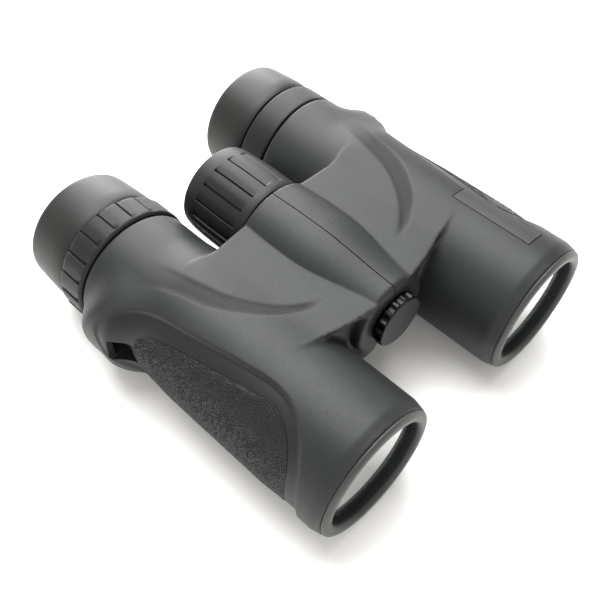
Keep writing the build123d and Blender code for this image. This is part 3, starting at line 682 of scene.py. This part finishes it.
def rubber(name, color, roughness, grain=3200, relief=0.34, dust=0.6, attribute=False):
    """Moulded rubber: fine matt grain, uneven tone, a little dust and, on the armour, painted shade in the sunk
    areas.
    """
    material, tree, shader = new_material(name, color, roughness, 0.28)
    broad = noise(tree, 45, 4)
    light = tuple(min(1, c * 1.16) for c in color)
    dark = tuple(c * 0.88 for c in color)
    tone = mix_color(tree, spread(tree, broad.outputs["Fac"], 0.35, 0.65, 0, 1), dark, light)
    if attribute:
        layer = tree.nodes.new("ShaderNodeAttribute")
        layer.attribute_name = "sunk_shade_and_finish"
        parts = tree.nodes.new("ShaderNodeSeparateColor")
        tree.links.new(layer.outputs["Color"], parts.inputs["Color"])
        # painted shade: the sunk channel darkens towards 0.45 and the crescent groove towards 0.5 of the colour,
        # partly standing for a darker matte finish; the groove is also made rougher
        sunk = spread(tree, parts.outputs["Red"], 0, 1, 0, 0.75)
        tone = mix_color(tree, sunk, tone, tuple(c * 0.45 for c in color))
        tone = mix_color(tree, parts.outputs["Green"], tone, tuple(c * 0.5 for c in color))
    specks = noise(tree, 420, kind="ShaderNodeTexVoronoi")
    dots = spread(tree, specks.outputs["Distance"], 0.06, 0.12, dust, 0)
    sparse = noise(tree, 130, 2)
    rare = spread(tree, sparse.outputs["Fac"], 0.5, 0.56, 0, 1)
    tone = mix_color(tree, combine(tree, "MULTIPLY", dots, rare), tone, (0.42, 0.42, 0.4))
    tree.links.new(tone, shader.inputs["Base Color"])
    fine = noise(tree, grain, 2)
    matt = spread(tree, fine.outputs["Fac"], 0.3, 0.7, roughness - 0.07, roughness + 0.07)
    if attribute:
        matt = combine(tree, "ADD", matt, spread(tree, parts.outputs["Green"], 0, 1, 0, 0.16))
    tree.links.new(matt, shader.inputs["Roughness"])
    add_bump(tree, shader, fine.outputs["Fac"], relief, 0.00012)
    return material


def painted(name, color, roughness, metallic=0.0, specular=0.5):
    """Paint, plastic or metal with a fine texture and faint tone changes."""
    material, tree, shader = new_material(name, color, roughness, specular)
    shader.inputs["Metallic"].default_value = metallic
    broad = noise(tree, 90, 3)
    tone = mix_color(tree, spread(tree, broad.outputs["Fac"], 0.3, 0.7, 0, 1),
                     tuple(c * 0.85 for c in color), tuple(min(1, c * 1.15) for c in color))
    tree.links.new(tone, shader.inputs["Base Color"])
    fine = noise(tree, 3500, 2)
    tree.links.new(spread(tree, fine.outputs["Fac"], 0.3, 0.7, roughness * 0.85, roughness * 1.15),
                   shader.inputs["Roughness"])
    add_bump(tree, shader, fine.outputs["Fac"], 0.15, 0.00006)
    return material


def turned_metal(name, color, roughness):
    """Lathe-turned metal: fine rings across the sight line."""
    material, tree, shader = new_material(name, color, roughness)
    shader.inputs["Metallic"].default_value = 1.0
    place = tree.nodes.new("ShaderNodeTexCoord")
    rings = tree.nodes.new("ShaderNodeTexWave")
    rings.bands_direction = "Y"
    rings.inputs["Scale"].default_value = 900
    rings.inputs["Distortion"].default_value = 1.5
    tree.links.new(place.outputs["Object"], rings.inputs["Vector"])
    tree.links.new(spread(tree, rings.outputs["Fac"], 0, 1, roughness * 0.8, roughness * 1.2),
                   shader.inputs["Roughness"])
    add_bump(tree, shader, rings.outputs["Fac"], 0.1, 0.00003)
    return material


def glass(name, color, ior, coating=0.0):
    """Optical glass whose coating shifts colour at a slant."""
    material, tree, shader = new_material(name, color, 0.0)
    shader.inputs["Transmission Weight"].default_value = 1.0
    shader.inputs["IOR"].default_value = ior
    slant = tree.nodes.new("ShaderNodeLayerWeight")
    slant.inputs["Blend"].default_value = 0.35
    tint = mix_color(tree, slant.outputs["Facing"], color, tuple(min(1, c * 1.3) for c in color))
    tree.links.new(tint, shader.inputs["Base Color"])
    smudge = noise(tree, 160, 4)
    tree.links.new(spread(tree, smudge.outputs["Fac"], 0.4, 0.8, 0.0, 0.008),
                   shader.inputs["Roughness"])
    shader.inputs["Coat Weight"].default_value = coating
    shader.inputs["Coat Roughness"].default_value = 0.0
    shader.inputs["Coat IOR"].default_value = 1.75
    return material


armour_rubber = rubber("armour_rubber", (0.0115, 0.0131, 0.0130), 0.5, attribute=True)
# painted light: a lighter copy of the armour rubber for the rounded objective lips, standing for the light they
# catch as they face up and out
lit_lip_rubber = rubber("lit_lip_rubber", (0.033, 0.035, 0.032), 0.45)
finishes = {
    "armour_rubber": rubber("ring_rubber", (0.0055, 0.0059, 0.0060), 0.52),
    "grip_rubber": rubber("grip_rubber", (0.0046, 0.0049, 0.0052), 0.42, 5200, 0.4, 0.2),
    "eyecup_rubber": rubber("eyecup_rubber", (0.0100, 0.0102, 0.0095), 0.48, relief=0.12),
    "wheel_rubber": rubber("wheel_rubber", (0.0060, 0.0062, 0.0060), 0.5),
    "housing_magnesium": painted("housing_paint", (0.02, 0.02, 0.02), 0.5, 0.3),
    "black_aluminium": painted("black_anodised", (0.012, 0.012, 0.013), 0.38, 0.7),
    "plate_plastic": painted("plate_plastic", (0.0118, 0.0130, 0.0124), 0.5),
    "black_plastic": painted("black_plastic", (0.015, 0.015, 0.015), 0.5),
    "cap_plastic": painted("cap_plastic", (0.0015, 0.0015, 0.0018), 0.3, specular=0.2),
    "coated_glass": glass("coated_glass", (0.20, 0.26, 0.24), 1.55, 1.0),
    "prism_glass": glass("prism_glass", (0.93, 0.96, 0.98), 1.57),
    "steel": turned_metal("turned_steel", (0.52, 0.52, 0.53), 0.3),
    "brass": turned_metal("turned_brass", (0.62, 0.46, 0.2), 0.3),
    "seal_rubber": painted("seal_rubber", (0.012, 0.012, 0.012), 0.6),
}
cap_face = painted("cap_face", (0.0018, 0.0019, 0.0020), 0.6)


def dress_frame():
    """Give each CAD node the finish of its material slot."""
    for entry in frame["record"]["subparts"]:
        node = frame["nodes"][entry["node"]]
        node.data.materials.clear()
        node.data.materials.append(finishes[entry["material_slot"]])


def fit(piece, body, slot, replaced=(), material=None):
    """Give a piece the finish of its record slot or the given material, attach it to its body and hide the CAD
    nodes that it stands for.
    """
    piece.data.materials.clear()
    piece.data.materials.append(material or finishes[slot])
    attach(piece, body)
    if replaced:
        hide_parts(*replaced)


# ------------------------------------------------------------------ floor, lights, camera
def make_stage():
    floor_size = 4.0
    corners = [(-floor_size, -floor_size, 0), (floor_size, -floor_size, 0),
               (floor_size, floor_size, 0), (-floor_size, floor_size, 0)]
    floor = make_object("floor", corners, [[0, 1, 2, 3]])
    floor.location.z = cad_box[0][2]
    floor.data.materials.append(new_material("floor_paper", (0.87, 0.858, 0.84), 0.9)[0])

    world = bpy.data.worlds.new("studio")
    world.use_nodes = True
    world.node_tree.nodes["Background"].inputs["Color"].default_value = (1.0, 0.99, 0.97, 1)
    world.node_tree.nodes["Background"].inputs["Strength"].default_value = 0.86
    bpy.context.scene.world = world


def add_light(name, place, target, size, power, color=(1, 1, 1)):
    """A square area light aimed at a point."""
    light = bpy.data.lights.new(name, "AREA")
    light.shape = "SQUARE"
    light.size = size
    light.energy = power
    light.color = color
    lamp = bpy.data.objects.new(name, light)
    lamp.location = place
    lamp.rotation_euler = (Vector(target) - Vector(place)).to_track_quat("-Z", "Y").to_euler()
    bpy.context.scene.collection.objects.link(lamp)


def make_camera():
    """Look down on the front right corner of the object."""
    azimuth, elevation, roll = (math.radians(a) for a in (-45.81, 53.51, -0.31))
    back = Vector((math.sin(azimuth) * math.cos(elevation),
                   -math.cos(azimuth) * math.cos(elevation), math.sin(elevation)))
    level = Vector((math.cos(azimuth), math.sin(azimuth), 0))
    raised = back.cross(level)
    right = math.cos(roll) * level + math.sin(roll) * raised
    up = math.cos(roll) * raised - math.sin(roll) * level
    lens = bpy.data.cameras.new("camera")
    lens.sensor_width = 36
    lens.lens = 49.55
    lens.clip_start = 0.01
    camera = bpy.data.objects.new("camera", lens)
    place = Vector((-117.36, -113.68, 225.12)) * MM
    camera.matrix_world = Matrix((
        (right.x, up.x, back.x, place.x),
        (right.y, up.y, back.y, place.y),
        (right.z, up.z, back.z, place.z),
        (0, 0, 0, 1),
    ))
    bpy.context.scene.collection.objects.link(camera)
    bpy.context.scene.camera = camera


# ------------------------------------------------------------------ assembly
make_camera()
make_stage()
add_light("key", (0.20, 0.34, 0.95), (0, 0, 0.02), 0.9, 26.0)
add_light("rim", (0.6, 0.9, 0.3), (0, 0, 0.03), 0.7, 18.0)
add_light("fill", (-0.6, -0.7, 0.5), (0, 0, 0.02), 0.9, 3.0)
bpy.context.scene.view_settings.view_transform = "Standard"
dress_frame()

surface = armour_surface()
GRAIN_SEED = 11
for order, (name, side) in enumerate(SIDES):
    half = f"{name}_half"
    fit(make_armour(name, side, surface), half, "armour_rubber", [f"{name}_armour"], armour_rubber)
    fit(make_grip(name, side, GRAIN_SEED + order), half, "grip_rubber", [f"{name}_grip_panel"])
    # the lip takes the lighter copy of the armour rubber as painted light
    fit(make_rim(name, side), half, "armour_rubber", material=lit_lip_rubber)
    fit(make_eyecup(name, side), f"{name}_eyecup", "eyecup_rubber", [f"{name}_eyecup_rubber"])
    fit(make_front_glass(name, side), half, "coated_glass", [f"{name}_objective_crown"])

fit(make_left_ring(), "left_half", "armour_rubber", ["left_eyepiece_ring"])
fit(make_diopter_ring(), "diopter_ring", "armour_rubber", ["right_diopter_ring"])
fit(make_wheel_grip(), "focus_wheel", "wheel_rubber", ["focus_wheel_grip"])
cap = make_cap()
fit(cap, "tripod_cap", "cap_plastic", ["tripod_cap"])
cap.data.materials.append(cap_face)
cap_face_depth = (FRONT + 24.3) * MM
for polygon in cap.data.polygons:
    if polygon.center.y < cap_face_depth:
        polygon.material_index = 1
